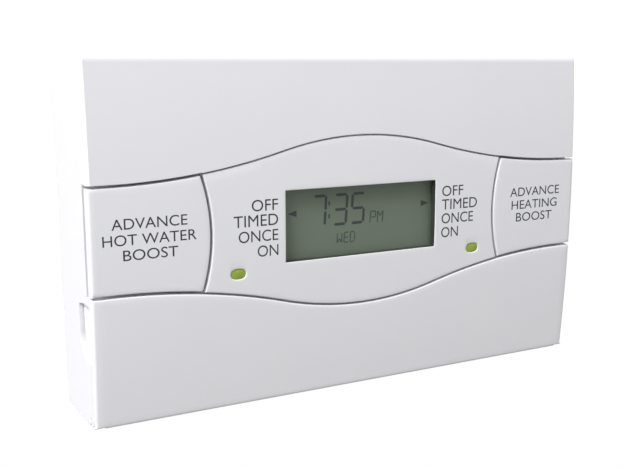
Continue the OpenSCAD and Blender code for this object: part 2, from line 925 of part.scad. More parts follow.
module rear_housing() {
    w = rear_half_w;
    h = rear_half_h;
    iw = w - rear_wall;
    ih = h - rear_wall;
    lo = deep_y - floor_t;
    color(off_white) difference() {
        block([-w, lo, -h], [w, rear_rim_y, h]);
        // recesses open to the wall: terminals and cables, the shallow middle, the screw lugs
        block([-iw, deep_y, step_z], [iw, 1, ih]);
        block([-iw, mid_y, low_step_z - rear_wall - eps], [iw, 1, step_z + eps]);
        block([-iw, deep_y, -ih], [iw, 1, low_step_z - rear_wall]);
        // the relay bay, open to the front
        block([-iw, lo - 1, low_step_z], [iw, mid_y - floor_t, step_z - rear_wall]);
        // slots for the contact blades
        for (i = [0 : terminals - 1]) block([terminal_x(i) - 0.65, lo - 1, blade_z - 2.3],
            [terminal_x(i) + 0.65, 0, blade_z + 2.3]);
        // the mode slider's window
        block([mode_x - mode_slot.x - 0.1, lo, mode_z - mode_slot.y - 0.1],
            [mode_x + mode_slot.x + 0.1, 0, mode_z + mode_slot.y + 0.1]);
        for (s = [-1, 1]) {
            for (z = [boss_top_z, boss_low_z]) rod_y(s * boss_x, z, case_screw_r + fit, lo - 1, 0);
            translate([s * lug_x, lug_screw_y, -h - 1]) cylinder(r = driver_r, h = rear_wall + 2);
            // slots that hang on the wall plate's hooks
            block([s * lug_x - 5, deep_y + 3, ih - eps], [s * lug_x + 5, -4.6, h + 1]);
        }
    }
}

module case_screws() {
    color(steel) for (s = [-1, 1]) for (z = [boss_top_z, boss_low_z])
        screw_y(s * boss_x, z, deep_y, case_screw_r - 0.05, floor_t + 6, 2 * case_screw_r, 1.6);
}

// ---- wall plate and terminals ----

module wall_plate() {
    lip = 1.2;
    color(off_white) difference() {
        union() {
            slab(-plate_t, 0) translate([-plate_half_w, plate_bottom])
                square([2 * plate_half_w, plate_top - plate_bottom]);
            // stiffening lip along the two ends
            for (s = [-1, 1])
                block([s * (plate_half_w - lip / 2) - lip / 2, -plate_t - 1, plate_bottom + 8],
                [s * (plate_half_w - lip / 2) + lip / 2, -plate_t + eps, plate_top - 8]);
            // hooks at the top
            for (s = [-1, 1]) {
                block([s * lug_x - 4, -6.8, plate_top - 1.6], [s * lug_x + 4, 0, plate_top]);
                block([s * lug_x - 4, -6.8, plate_top - eps], [s * lug_x + 4, -5.2, plate_top + 2.4]);
            }
            // lugs for the retaining screws, with two ribs each
            for (s = [-1, 1]) {
                block([s * lug_x - 5, -9, plate_bottom], [s * lug_x + 5, 0, plate_bottom + 2.4]);
                for (t = [-1, 1]) block([s * lug_x + t * 4.4 - 0.6, -9, plate_bottom],
                    [s * lug_x + t * 4.4 + 0.6, 0, plate_bottom + 4.4]);
            }
        }
        // fixing slots at the pitch of a flush wall box, on the centre line
        for (s = [-1, 1]) translate([s * fixing_pitch / 2, 0, 0]) slab(-plate_t - 1, 1)
            oblong(slot_l, slot_w);
        // cable entry
        block([-entry_w / 2, -plate_t - 1, 0], [entry_w / 2, 1, entry_h]);
        for (s = [-1, 1]) translate([s * lug_x, lug_screw_y, plate_bottom - 1])
            cylinder(r = 1.6, h = 5);
        // two more holes for a surface fixing
        for (s = [-1, 1]) rod_y(s * 45, plate_top - 8, 2.1, -plate_t - 1, 1);
    }
}

module terminal_block() {
    w = terminals * terminal_pitch / 2 + 1.2;
    color(white) difference() {
        block([-w, -10.2, terminal_z - 6.5], [w, -plate_t, terminal_z + 8]);
        for (i = [0 : terminals - 1]) translate([terminal_x(i), 0, 0]) {
            block([-3.7, -9, terminal_z - 7], [3.7, -3.4, terminal_z + 6.6]);
            block([-0.8, -11, blade_z - 2.4], [0.8, -8.9, blade_z + 2.4]);
            rod_y(0, terminal_z + 3.4, 2.8, -11, -8.9);
        }
    }
}

module terminal_clamps() {
    color(brass) for (i = [0 : terminals - 1]) translate([terminal_x(i), 0, 0]) difference() {
        block([-3.4, -8.8, terminal_z - 6], [3.4, -3.5, terminal_z + 6.4]);
        block([-0.55, -9, blade_z - 2.2], [0.55, -4.3, blade_z + 2.2]);
        translate([0, -5.6, terminal_z - 0.2]) cylinder(r = 1.7, h = 7);
        rod_y(0, terminal_z + 3.4, 1.6, -9, -6);
    }
}

module terminal_screws() {
    color(steel) for (i = [0 : terminals - 1]) translate([terminal_x(i), 0, terminal_z + 3.4])
        difference() {
            union() {
                rod_y(0, 0, 1.5, -8.9, -7.2);
                rod_y(0, 0, 2.5, -10.1, -8.9 + eps);
            }
            block([-3, -11, -0.4], [3, -9.7, 0.4]);
        }
}

module earth_terminal() {
    color(brass) difference() {
        block([earth_x - 3.5, -8.6, terminal_z - 5], [earth_x + 3.5, -plate_t, terminal_z + 5]);
        translate([earth_x, -5, terminal_z - 6]) cylinder(r = 1.9, h = 12);
        rod_y(earth_x, terminal_z, 1.6, -9, -5);
    }
}

module earth_screw() {
    color(steel) difference() {
        union() {
            rod_y(earth_x, terminal_z, 1.5, -8.7, -7);
            rod_y(earth_x, terminal_z, 2.5, -10, -8.65);
        }
        block([earth_x - 3, -11, terminal_z - 0.4], [earth_x + 3, -9.6, terminal_z + 0.4]);
    }
}

module retaining_screws() {
    color(steel) for (s = [-1, 1]) translate([s * lug_x, lug_screw_y, plate_bottom]) difference() {
        union() {
            cylinder(r = 1.5, h = 4.2);
            translate([0, 0, -1.3]) cylinder(r = 2.6, h = 1.3);
        }
        block([-3, -0.4, -1.5], [3, 0.4, -0.7]);
    }
}

module left_button() {
    mirror([1, 0, 0]) big_button();
}

module right_button() {
    big_button();
}

front_housing();
display_fascia();
display_window();
lcd_panel();
lcd_frame();
left_light_guide();
right_light_guide();
left_button();
right_button();
flap();
select_key_left();
set_key();
day_key();
minus_key();
plus_key();
copy_key();
select_key_right();
circuit_board();
board_screws();
key_switches();
button_switches();
status_leds();
microcontroller();
crystal();
water_relay();
heating_relay();
power_transformer();
mains_capacitor();
smoothing_capacitor();
fuse();
backup_cell();
mode_switch();
mode_slider();
contact_blades();
rear_housing();
case_screws();
wall_plate();
terminal_block();
terminal_clamps();
terminal_screws();
earth_terminal();
earth_screw();
retaining_screws();
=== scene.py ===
# %% [markdown]
# # A heating programmer for a wall
#
# The object is a two-channel programmer: a white ABS case with a curved front, a display
# panel between two wide push buttons, and a flap along the bottom that hides the keys.
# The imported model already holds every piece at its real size. This lesson gives each
# piece its finish, and rebuilds the mouldings that a hand or an eye meets first, because
# a real moulding has a small radius on every edge and a plain solid has none.

# %% Load the frame
import json
import math

import bmesh
import bpy
import numpy as np
from mathutils import Euler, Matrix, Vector


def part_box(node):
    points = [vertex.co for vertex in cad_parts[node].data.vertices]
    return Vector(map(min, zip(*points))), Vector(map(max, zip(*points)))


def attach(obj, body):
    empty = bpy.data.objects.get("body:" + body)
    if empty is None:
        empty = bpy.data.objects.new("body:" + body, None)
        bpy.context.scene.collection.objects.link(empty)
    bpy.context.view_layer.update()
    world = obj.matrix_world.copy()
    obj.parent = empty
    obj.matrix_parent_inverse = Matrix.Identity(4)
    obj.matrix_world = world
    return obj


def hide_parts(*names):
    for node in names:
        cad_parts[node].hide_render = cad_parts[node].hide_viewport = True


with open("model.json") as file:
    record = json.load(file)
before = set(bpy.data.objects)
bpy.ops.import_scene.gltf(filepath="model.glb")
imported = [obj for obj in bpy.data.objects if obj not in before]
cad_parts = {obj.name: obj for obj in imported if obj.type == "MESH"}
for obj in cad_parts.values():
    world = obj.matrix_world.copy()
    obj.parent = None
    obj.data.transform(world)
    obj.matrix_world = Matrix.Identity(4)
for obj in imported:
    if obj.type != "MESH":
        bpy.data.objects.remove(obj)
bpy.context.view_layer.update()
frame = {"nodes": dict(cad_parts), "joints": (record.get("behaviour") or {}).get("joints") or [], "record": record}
nodes = frame["nodes"]

# %% [markdown]
# ## Sizes
#
# All shapes are worked out in millimetres and scaled once, when they become meshes. The
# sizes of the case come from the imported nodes. The curves of the front are two formulas:
# a flat cylinder for the face, and two arcs for the edge of the band across its middle.

# %% Read the case's size and write the front as a formula
MM = 0.001


def box_mm(node):
    """The two corners of a node's box, in millimetres."""
    lo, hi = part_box(node)
    return np.array(lo) / MM, np.array(hi) / MM


case_lo, case_hi = box_mm("front_housing")
half_w = case_hi[0]
half_h = case_hi[2]
front = case_lo[1]
crown = 1.76
front_r = (half_h**2 / crown + crown) / 2


def front_y(z):
    """Depth of the front at height z: a cylinder of radius front_r about a level line."""
    return front + front_r - np.sqrt(front_r**2 - z**2)


print(f"case {2 * half_w:.1f} x {2 * half_h:.1f} mm, front radius {front_r:.0f} mm")

# %% Write the band's edge and the button's seam as formulas
band_z = 1.3
band_crest = 21.7
band_end = 12.6
bend_x = 22.0
level_x = 66.0
arc = 2 * math.atan((band_crest - band_end) / level_x)
crest_r = bend_x / math.sin(arc)
fillet_r = (level_x - bend_x) / math.sin(arc)
seam_r = 45.6
seam_x = 41.2 + seam_r


def band_half(x, grow=0.0):
    """Half height of the band at x: an arc of radius crest_r, a hollow arc, then level."""
    ax = np.abs(x)
    crest = band_crest - crest_r + np.sqrt(np.maximum((crest_r + grow) ** 2 - ax**2, 0))
    run = np.clip(level_x - ax, 0, level_x - bend_x + 3)
    hollow = band_end + fillet_r - np.sqrt((fillet_r - grow) ** 2 - run**2)
    return np.where(ax < (crest_r + grow) * math.sin(arc), crest, hollow)


def seam_end(z, grow=0.0):
    """Where a circle of radius seam_r + grow about (seam_x, band_z) crosses height z."""
    return seam_x - np.sqrt((seam_r + grow) ** 2 - (z - band_z) ** 2)


print(f"band arcs {crest_r:.1f} and {fillet_r:.1f} mm, seam circle {seam_r} mm")

# %% [markdown]
# ## From arrays to meshes
#
# Every new piece is a set of grids. A grid is an array of points whose rows and columns
# are the two parameters of a surface, and its faces come from one index formula. Grids
# that meet share their border points, so a weld closes the piece. Edges sharper than the
# given angle are marked, so that flat walls stay flat and rounded edges look round.

# %% Make one mesh from several grids
WELD = 0.004
SLIVER = 0.0005


def grid_faces(rows, cols):
    """Quads of a rows x cols grid, each from its own corner index."""
    i = np.arange(rows - 1)[:, None] * cols + np.arange(cols - 1)[None, :]
    return np.stack([i, i + 1, i + cols + 1, i + cols], -1).reshape(-1, 4)


def make_piece(name, grids, body, sharp_deg=35.0, stands_for=(), loops=()):
    """Welds grids of points in millimetres into one closed mesh that rides on a body."""
    points, faces, start = [], [], 0
    for g in grids:
        g = np.asarray(g, float)
        points.append(g.reshape(-1, 3))
        faces.append(grid_faces(*g.shape[:2]) + start)
        start += g.shape[0] * g.shape[1]
    polygons = np.concatenate(faces).tolist()
    for loop in loops:
        points.append(np.asarray(loop, float))
        polygons.append(list(range(start, start + len(loop))))
        start += len(loop)
    mesh = bpy.data.meshes.new(name)
    mesh.from_pydata(np.concatenate(points) * MM, [], polygons)
    weld(mesh)
    mesh.polygons.foreach_set("use_smooth", np.ones(len(mesh.polygons), bool))
    mesh.set_sharp_from_angle(angle=math.radians(sharp_deg))
    piece = bpy.data.objects.new(name, mesh)
    bpy.context.scene.collection.objects.link(piece)
    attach(piece, body)
    if stands_for:
        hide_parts(*stands_for)
    print(f"{name}: {len(mesh.polygons)} faces")
    return piece


def weld(mesh):
    """Joins points closer than WELD, drops slivers and turns the faces outwards."""
    bm = bmesh.new()
    bm.from_mesh(mesh)
    bmesh.ops.remove_doubles(bm, verts=bm.verts, dist=WELD * MM)
    bmesh.ops.dissolve_degenerate(bm, dist=SLIVER * MM, edges=bm.edges)
    bmesh.ops.recalc_face_normals(bm, faces=bm.faces)
    open_edges = sum(1 for e in bm.edges if len(e.link_faces) != 2)
    if open_edges:
        print(f"   {mesh.name}: {open_edges} open edges")
    bm.to_mesh(mesh)
    bm.free()


# %% [markdown]
# ## Rounded edges
#
# A mould tool is never perfectly sharp, so each edge has a quarter circle of a few tenths
# of a millimetre. The same quarter circle serves every piece: at angle t it stands in from
# the outline by r(1 - sin t) and back from the face by r(1 - cos t).

# %% The quarter circle of an edge
EDGE = 0.35
EDGE_STEPS = 5
turn = np.linspace(0, math.pi / 2, EDGE_STEPS)
edge_in = 1 - np.sin(turn)
edge_back = 1 - np.cos(turn)
ALONG = 33
print("edge radius", EDGE, "mm in", EDGE_STEPS, "steps,", ALONG, "points along a side")

# %% [markdown]
# ## The display panel
#
# The panel is one moulding with three holes: the display window and two status lenses.
# A plate with holes is awkward as one grid, so it is cut into three cells with one hole
# each. In a cell, one parameter runs round the hole and the other goes from the hole to
# the cell's border, so every cell is a ring. The rings share the straight lines between
# them, and the outer border and the holes get the rounded edge.

# %% Outlines of the panel and its holes
panel_gap = 0.125
button_gap = 0.325
panel_back = front + 1.9
cell_x = 28.5
pane_rim = 3.0
window = box_mm("display_window")
window_half = (window[1] - window[0])[[0, 2]] / 2 - pane_rim
lens_lo, lens_hi = box_mm("right_light_guide")
lens_at = np.array([(lens_lo[0] + lens_hi[0]) / 2, (lens_lo[2] + lens_hi[2]) / 2])
lens_half = np.array([1.95, 1.3])


def panel_corner(inset):
    """The panel's upper right corner: x where the band's edge meets the seam circle."""
    x = np.full_like(np.asarray(inset, float), 45.0)
    for _ in range(12):
        x = seam_end(band_z + band_half(x, -panel_gap - inset), button_gap + inset)
    return x


def panel_side(side, s, inset, cell):
    """A cell's border: side 0 right, 1 top, 2 left, 3 bottom; s runs counter-clockwise."""
    corner = panel_corner(inset)
    if cell == 0:
        x_lo, x_hi = -cell_x + 0 * inset, cell_x + 0 * inset
    else:
        x_lo, x_hi = cell_x + 0 * inset, corner
    if side in (1, 3):
        x = x_hi + (x_lo - x_hi) * (s if side == 1 else 1 - s)
        sign = 1 if side == 1 else -1
        z = band_z + sign * band_half(x, -panel_gap - inset)
        return x, z
    x_end = x_hi if side == 0 else x_lo
    top = band_half(x_end, -panel_gap - inset)
    z = band_z + top * ((2 * s - 1) if side == 0 else (1 - 2 * s))
    if cell == 1 and side == 0:
        x_end = seam_end(z, button_gap + inset)
    return x_end + 0 * z, z


def rectangle(x0, x1, z0, z1):
    """An outline function for a rectangle: four straight sides, moved out by grow."""
    def outline(side, s, grow):
        w, h, along = (x1 - x0) / 2 + grow, (z1 - z0) / 2 + grow, 2 * s - 1
        x = {0: w + 0 * s, 1: -along * w, 2: -w + 0 * s, 3: along * w}[side]
        z = {0: along * h, 1: h + 0 * s, 2: -along * h, 3: -h + 0 * s}[side]
        return x + (x0 + x1) / 2, z + (z0 + z1) / 2
    return outline


window_side = rectangle(-window_half[0], window_half[0],
                        band_z - window_half[1], band_z + window_half[1])


def lens_side(side, s, grow):
    """A bar with round ends, split at its four diagonals; a quarter is one side."""
    r = lens_half[1] + grow
    run = lens_half[0] - lens_half[1]
    angle = (side - 0.5 + s) * math.pi / 2
    c, sn = np.cos(angle), np.sin(angle)
    flat = np.clip(c * 1.6, -1, 1)
    return lens_at[0] + run * flat + r * c, lens_at[1] + r * sn


def ring_cell(cell, hole_side, outer_sides, n, rows_between, hole_roll):
    """The grids of one ring: back wall of the hole, its edge, the face, the outer edge."""
    s = np.linspace(0, 1, n)[None, :]
    made = []
    for side in range(4):
        g_in = hole_roll * edge_in[::-1, None]
        hx, hz = hole_side(side, s, g_in)
        hy = front_y(hz) + hole_roll * edge_back[::-1, None]
        ox, oz = panel_side(side, s, np.full((1, 1), EDGE), cell)
        t = np.linspace(0, 1, rows_between)[1:, None]
        fx = hx[-1] + (ox - hx[-1]) * t
        fz = hz[-1] + (oz - hz[-1]) * t
        xs, zs = [hx[:1], hx, fx], [hz[:1], hz, fz]
        ys = [np.full((1, n), panel_back), hy, front_y(fz)]
        bx, bz = panel_side(side, s, np.zeros((1, 1)), cell)
        if side in outer_sides:
            rx, rz = panel_side(side, s, EDGE * edge_in[1:, None], cell)
            xs += [rx, bx]
            ys += [front_y(rz) + EDGE * edge_back[1:, None], np.full((1, n), panel_back)]
            zs += [rz, bz]
        made.append(np.stack([np.concatenate(xs), np.concatenate(ys), np.concatenate(zs)], -1))
        tx = bx + (hx[0] - bx) * np.linspace(0, 1, rows_between)[:, None]
        tz = bz + (hz[0] - bz) * np.linspace(0, 1, rows_between)[:, None]
        made.append(np.stack([tx, np.full_like(tx, panel_back), tz], -1))
    return made


def mirrored(grids):
    """The same grids on the other side of the middle plane."""
    return [np.asarray(g)[:, ::-1] * np.array([-1, 1, 1]) for g in grids]


# %% Build the display panel
ROWS = 12
middle = ring_cell(0, window_side, (1, 3), ALONG, ROWS, hole_roll=0.2)
outer = ring_cell(1, lens_side, (0, 1, 3), ALONG, ROWS, hole_roll=0.3)
panel = make_piece("display_panel", middle + outer + mirrored(outer), "case",
                   stands_for=["display_fascia"])

# %% [markdown]
# ## The two big buttons
#
# Each button is a plate between the band's two edges. Its inner end is the convex seam
# and its outer end wraps over the side of the case. The face is one grid over the
# outline. The edge, the wall and the back are rings of the same outline, drawn smaller or
# deeper. The stem behind it presses a switch and the two hooks keep the button in.

# %% A button as a grid inside its outline
button_back = front + 2.2
SIDE_EDGE = 0.8


def button_point(u, v, inset, side_inset):
    """Outline point: v from -1 to 1 up the band, u from the seam to the case's side."""
    x_out = half_w - side_inset
    x = x_out + 0 * v
    for _ in range(8):
        z = band_z + v * band_half(x, -button_gap - inset)
        x_in = seam_end(z, -button_gap - inset)
        x = x_in + (x_out - x_in) * u
    return x, band_z + v * band_half(x, -button_gap - inset)


def side_share(x):
    """How far the radius has grown from the seam's to the side's: 0 inside, 1 at the side."""
    t = np.clip((x - half_w + 4) / 3.2, 0, 1)
    return t * t * (3 - 2 * t)


def button_ring(n, k, flat_y=None):
    """One closed ring of the outline at step k of the edge, as a 1 x 4(n-1)+1 grid."""
    a = np.linspace(0, 1, n)
    one, b = np.ones(n), np.linspace(-1, 1, n)
    u = np.concatenate([one, a[::-1][1:], 0 * a[1:], a[1:]])
    v = np.concatenate([b, one[1:], b[::-1][1:], -one[1:]])
    x, z = button_point(u, v, EDGE * edge_in[k], SIDE_EDGE * edge_in[k])
    r = EDGE + (SIDE_EDGE - EDGE) * side_share(x)
    y = front_y(z) + r * edge_back[k] if flat_y is None else np.full_like(x, flat_y)
    return np.stack([x, y, z], -1)


def button_face(n, k, flat_y=None):
    """The grid inside the ring at step k."""
    u, v = np.meshgrid(np.linspace(0, 1, n), np.linspace(-1, 1, n))
    x, z = button_point(u, v, EDGE * edge_in[k], SIDE_EDGE * edge_in[k])
    y = front_y(z) if flat_y is None else np.full_like(x, flat_y)
    return np.stack([x, y, z], -1)


def tube(centre, radii, depths, n=32):
    """Rings of the given radii and depths about an axis along Y, closed at both ends."""
    angle = np.linspace(0, 2 * math.pi, n + 1)[None, :]
    r = np.array([0.0, *radii, 0.0])[:, None]
    y = np.array([depths[0], *depths, depths[-1]])[:, None] + 0 * angle
    return np.stack([centre[0] + r * np.cos(angle), y, centre[1] + r * np.sin(angle)], -1)


def bar(lo, hi, r=0.15):
    """A block with rounded edges: a square section whose rings shrink at both ends."""
    lo, hi = np.array(lo, float), np.array(hi, float)
    c, h = (lo + hi) / 2, (hi - lo) / 2
    inset = np.array([h.min(), *(r * edge_in), *(r * edge_in[::-1]), h.min()])
    inset[0] = inset[-1] = 0
    q = np.array([[1, -1], [1, 1], [-1, 1], [-1, -1], [1, -1]], float)
    depth = np.concatenate([[0], r * edge_back, 2 * h[1] - r * edge_back[::-1], [2 * h[1]]])
    half = np.array([h[0], h[2]])
    ring = half[None, :] - inset[:, None]
    ring[0] = ring[-1] = 0
    xz = q[None, :, :] * ring[:, None, :]
    y = np.broadcast_to((c[1] - h[1] + depth)[:, None], xz.shape[:2])
    return np.stack([c[0] + xz[..., 0], y, c[2] + xz[..., 1]], -1)


# %% Build both buttons
rings = np.stack([button_ring(ALONG, k) for k in range(EDGE_STEPS)]
                 + [button_ring(ALONG, EDGE_STEPS - 1, button_back)])
overlap = 0.2
stem_x, stem_r = 53.0, 2.5
stem_tip = box_mm("right_button")[1][1]
stem = tube((stem_x, band_z), [stem_r, stem_r, stem_r - 0.2],
            [button_back - overlap, stem_tip - 0.2, stem_tip])
leg_x0, leg_x1, leg_t, leg_up = 59.2, 62.8, 1.2, 8
hook_back = front + 5.65
hook_end = hook_back + 0.9
legs = []
for sign in (-1, 1):
    z0 = band_z + leg_up * sign
    legs.append(bar([leg_x0, button_back - overlap, z0 - leg_t / 2],
                    [leg_x1, hook_end, z0 + leg_t / 2]))
    tip = sorted([z0 + 0.2 * sign, z0 + 1.5 * sign])
    legs.append(bar([leg_x0, hook_back, tip[0]], [leg_x1, hook_end, tip[1]]))
front_face = button_face(ALONG, 0)
back_face = button_face(ALONG, EDGE_STEPS - 1, button_back)
button = [rings, front_face, back_face, stem] + legs
right = make_piece("right_push_button", button, "right_button", stands_for=["right_button"])
left = make_piece("left_push_button", mirrored(button), "left_button",
                  stands_for=["left_button"])

# %% [markdown]
# ## The flap
#
# The flap is a thin curved plate with its foot rolled round the hinge pin, so its side
# view is one closed line: over the top edge, down the face, round the foot, round the
# barrel and up the inside. Carrying that line across the width makes the whole moulding.
# Only the top edge changes on the way, because it follows the band. Near the sides the
# barrel stops, to clear the two noses that hold the pin. The tabs that a finger pulls are
# flat plates whose upper edge is an arc about the pin, so that they swing out freely.

# %% The flap's side view as rows, carried across the width
pin = np.array(next(j for j in frame["joints"] if j["name"] == "flap_hinge")["pos_m"]) / MM
flap_t = 1.8
flap_grow = 0.4
barrel_r = 1.7
pin_r = 0.65
barrel_end = half_w - 2.5
face_rows = 25
inner_y = front_y(pin[2] + 1.3) + flap_t
meet = math.pi - math.acos((pin[1] - inner_y) / barrel_r)


def arc_about_pin(a0, a1, n):
    """Points on the barrel's circle from angle a0 to a1, as depth and height."""
    a = np.linspace(a0, a1, n)
    return pin[1] + barrel_r * np.cos(a), pin[2] + barrel_r * np.sin(a)


def face_part(x, side_back):
    """Rows over the top edge and down the face, at each x; side_back sets the side back."""
    ins = EDGE * edge_in[::-1, None]
    top_z = band_z - band_half(x[None, :], flap_grow + ins)
    top_y = front_y(top_z) + np.maximum(EDGE * edge_back[::-1, None], side_back[None, :])
    t = np.linspace(0, 1, face_rows)[1:, None]
    z = top_z[-1] + (-half_h + SIDE_EDGE - top_z[-1]) * t
    return np.concatenate([top_y, front_y(z) + side_back]), np.concatenate([top_z, z])


def inner_part(x):
    """Rows up the inside, from where the barrel meets it to the top edge."""
    foot = pin[2] + barrel_r * math.sin(meet)
    top = band_z - band_half(x[None, :], flap_grow)
    z = foot + (top - foot) * np.linspace(0, 1, face_rows)[:, None]
    return front_y(z) + flap_t, z


def barrel_part():
    """The rounded foot, the underside and the barrel, as depth and height."""
    z = -half_h + SIDE_EDGE * edge_in[1:]
    y = front_y(-half_h + SIDE_EDGE) + SIDE_EDGE * edge_back[1:]
    ay, az = arc_about_pin(-math.pi / 2, meet, 21)
    return np.concatenate([y, ay[:-1]]), np.concatenate([z, az[:-1]])


def end_part():
    """The foot beside the barrel: a slope to the clearance circle, then round it."""
    y0 = front_y(-half_h + SIDE_EDGE)
    y, z = y0 + 0.5 * edge_back[1:], -half_h + SIDE_EDGE - 0.5 * (1 - edge_in[1:])
    ay, az = arc_about_pin(math.radians(210), meet, 9)
    return np.concatenate([y, ay[:-1]]), np.concatenate([z, az[:-1]])


def section(x, side_back, foot):
    """The closed side view at each x, as a grid of rows by columns."""
    fy, fz = face_part(x, side_back)
    iy, iz = inner_part(x)
    ly, lz = foot()
    low_y = np.broadcast_to(ly[:, None], (len(ly), len(x)))
    low_z = np.broadcast_to(lz[:, None], (len(lz), len(x)))
    y = np.concatenate([fy, low_y, iy, fy[:1]])
    z = np.concatenate([fz, low_z, iz, fz[:1]])
    return np.stack([np.broadcast_to(x[None, :], y.shape), y, z], -1)


# %% Build the flap
columns = 97
across = np.linspace(-barrel_end, barrel_end, columns)
side_x = np.concatenate([[barrel_end], half_w - SIDE_EDGE * edge_in])
side_rise = np.concatenate([[0], SIDE_EDGE * edge_back])
plate = section(across, 0 * across, barrel_part)
end = section(side_x, side_rise, end_part)
plate_foot = np.stack([np.full(len(barrel_part()[0]), barrel_end), *barrel_part()], -1)
end_foot = np.stack([np.full(len(end_part()[0]), barrel_end), *end_part()], -1)
shared_low = end[EDGE_STEPS + face_rows - 2, 0][None, :]
shared_meet = end[EDGE_STEPS + face_rows - 1 + len(end_foot), 0][None, :]
step_loop = np.concatenate([shared_low, plate_foot, shared_meet, end_foot[::-1]])
end_loop = end[:-1, -1]
flip = np.array([-1, 1, 1])


def plate_across(outline, x0, x1, r=0.2):
    """A flat plate from x0 to x1: rings of the outline, drawn in by r at both faces."""
    step = np.roll(outline, -1, 0) - np.roll(outline, 1, 0)
    normal = np.stack([step[:, 1], -step[:, 0]], -1)
    normal /= np.linalg.norm(normal, axis=1)[:, None]
    centre = outline.mean(0)
    inset = np.concatenate([r * edge_in, r * edge_in[::-1]])
    x = np.concatenate([x0 + r * edge_back, x1 - r * edge_back[::-1]])
    rings = outline[None] - inset[:, None, None] * normal[None]
    hub = np.broadcast_to(centre, rings[:1].shape)
    rings = np.concatenate([hub, rings, hub])
    x = np.concatenate([x[:1], x, x[-1:]])
    rings = np.concatenate([rings, rings[:, :1]], 1)
    return np.stack([np.broadcast_to(x[:, None], rings.shape[:2]), *np.moveaxis(rings, -1, 0)], -1)


def rod_across(centre, r, x0, x1, n=24):
    """A round rod along X with a small radius at both ends."""
    a = np.linspace(0, 2 * math.pi, n + 1)[:-1]
    ring = np.stack([centre[0] + r * np.cos(a), centre[1] + r * np.sin(a)], -1)
    return plate_across(ring, x0, x1, 0.1)


# The tab fills the case's side cut with 0.4 mm to spare, up to an arc about the pin.
spare = 0.4
cut_z = -half_h + 21.0
cut_back = pin[1] + 7.0
corner_r = 4.9
tab_back = cut_back - spare
tab_front = front_y(cut_z) + 1.2
tab_top_r = band_z - band_end - 2.3 - pin[2] - spare
low_arc = np.linspace(-math.pi / 2, 0, 9)
tab_low = np.stack([tab_back - corner_r + corner_r * np.cos(low_arc),
                    cut_z + corner_r * np.sin(low_arc)], -1)
tab_y = np.linspace(tab_back, tab_front, 9)
tab_high = np.stack([tab_y, pin[2] + np.sqrt(tab_top_r**2 - (tab_y - pin[1]) ** 2)], -1)
tab_foot = np.array([[tab_front, cut_z - corner_r]])
tab_outline = np.concatenate([tab_foot, tab_low, tab_high])
tab = plate_across(tab_outline, half_w - 1.0 - flap_t, half_w - 1.0)
stop_lo = np.array([42.0, front_y(-20.0) + 0.6, -18.5])
stop = bar(stop_lo, [48.0, front + 4.8, -17.3])
hinge_pin = rod_across(pin[[1, 2]], pin_r, barrel_end - 0.5, half_w)
half_flap = [end, tab, stop, hinge_pin]
flap = make_piece(
    "flap_cover", [plate] + half_flap + mirrored(half_flap), "flap", stands_for=["flap"],
    loops=[step_loop, step_loop * flip, end_loop, end_loop * flip],
)

# %% [markdown]
# ## Window, glass and lenses
#
# A clear acrylic pane sits behind the panel, and the liquid-crystal glass, which stays as
# the solid model has it, stands a little behind. The two status lenses are short light
# guides of green acrylic whose fronts are slightly domed. Pane and lenses are plates with
# a small edge, so one profile serves them: rings of an outline that grow from nothing,
# cross the face, and close at the back.

# %% Plates and lenses seen from the front


def front_plate(side, lo_y, hi_y, r=0.15, dome=0.0, n=9, steps=8):
    """A plate in the outline of side(): domed front, rounded edges, flat back."""
    s = np.linspace(0, 1, n)[None, :]
    insets = np.concatenate([r * edge_in, [0.0, 0.0]])
    depth = np.concatenate([lo_y + r * edge_back, [hi_y, hi_y]])
    grids = []
    for k in range(4):
        x, z = side(k, s, -insets[:, None])
        cx, cz = side(0, np.array([[0.5]]), 0.0), side(2, np.array([[0.5]]), 0.0)
        mid = (cx[0] + cz[0]) / 2, (cx[1] + cz[1]) / 2
        t = np.linspace(0, 1, steps)[:-1, None]
        face_x, face_z = mid[0] + (x[0] - mid[0]) * t, mid[1] + (z[0] - mid[1]) * t
        face_y = np.broadcast_to(lo_y - dome * (1 - t**2), face_x.shape)
        x, z = x.copy(), z.copy()
        x[-1], z[-1] = mid
        y = np.broadcast_to(depth[:, None], x.shape)
        grids.append(np.stack([np.concatenate([face_x, x]), np.concatenate([face_y, y]),
                               np.concatenate([face_z, z])], -1))
    return grids


def plate_for(node, piece, slot, body="case", **shape):
    """A rounded plate in the box of a CAD node, which it replaces."""
    lo, hi = box_mm(node)
    grids = front_plate(rectangle(lo[0], hi[0], lo[2], hi[2]), lo[1], hi[1], **shape)
    made = make_piece(piece, grids, body, stands_for=[node])
    return made


# %% Build the pane and the lenses
pane = plate_for("display_window", "window_pane", "clear_acrylic", r=0.25)
glass_front = box_mm("lcd_panel")[0][1]
lens_front = lens_lo[1]
lens_step = front + 2.0


def guide_side(k, s, grow):
    """The light guide's foot: the lens outline grown by half a millimetre."""
    return lens_side(k, s, grow + 0.5)


lens = front_plate(lens_side, lens_front + 0.15, lens_step, r=0.2, dome=0.15, n=13)
lens += front_plate(guide_side, lens_step - 0.1, lens_hi[1], n=13)
lens_pieces = []
for name, node, grids in (("right_lens", "right_light_guide", lens),
                          ("left_lens", "left_light_guide", mirrored(lens))):
    piece = make_piece(name, grids, "case", stands_for=[node])
    lens_pieces.append(piece)

# %% [markdown]
# ## The display's segments
#
# A liquid-crystal display darkens fixed strokes in its glass. Each stroke is a thin bar
# with pointed or square ends between two points of the character's own small grid, so a
# digit is a list of strokes. Here the display shows a time, a weekday and two pointers.

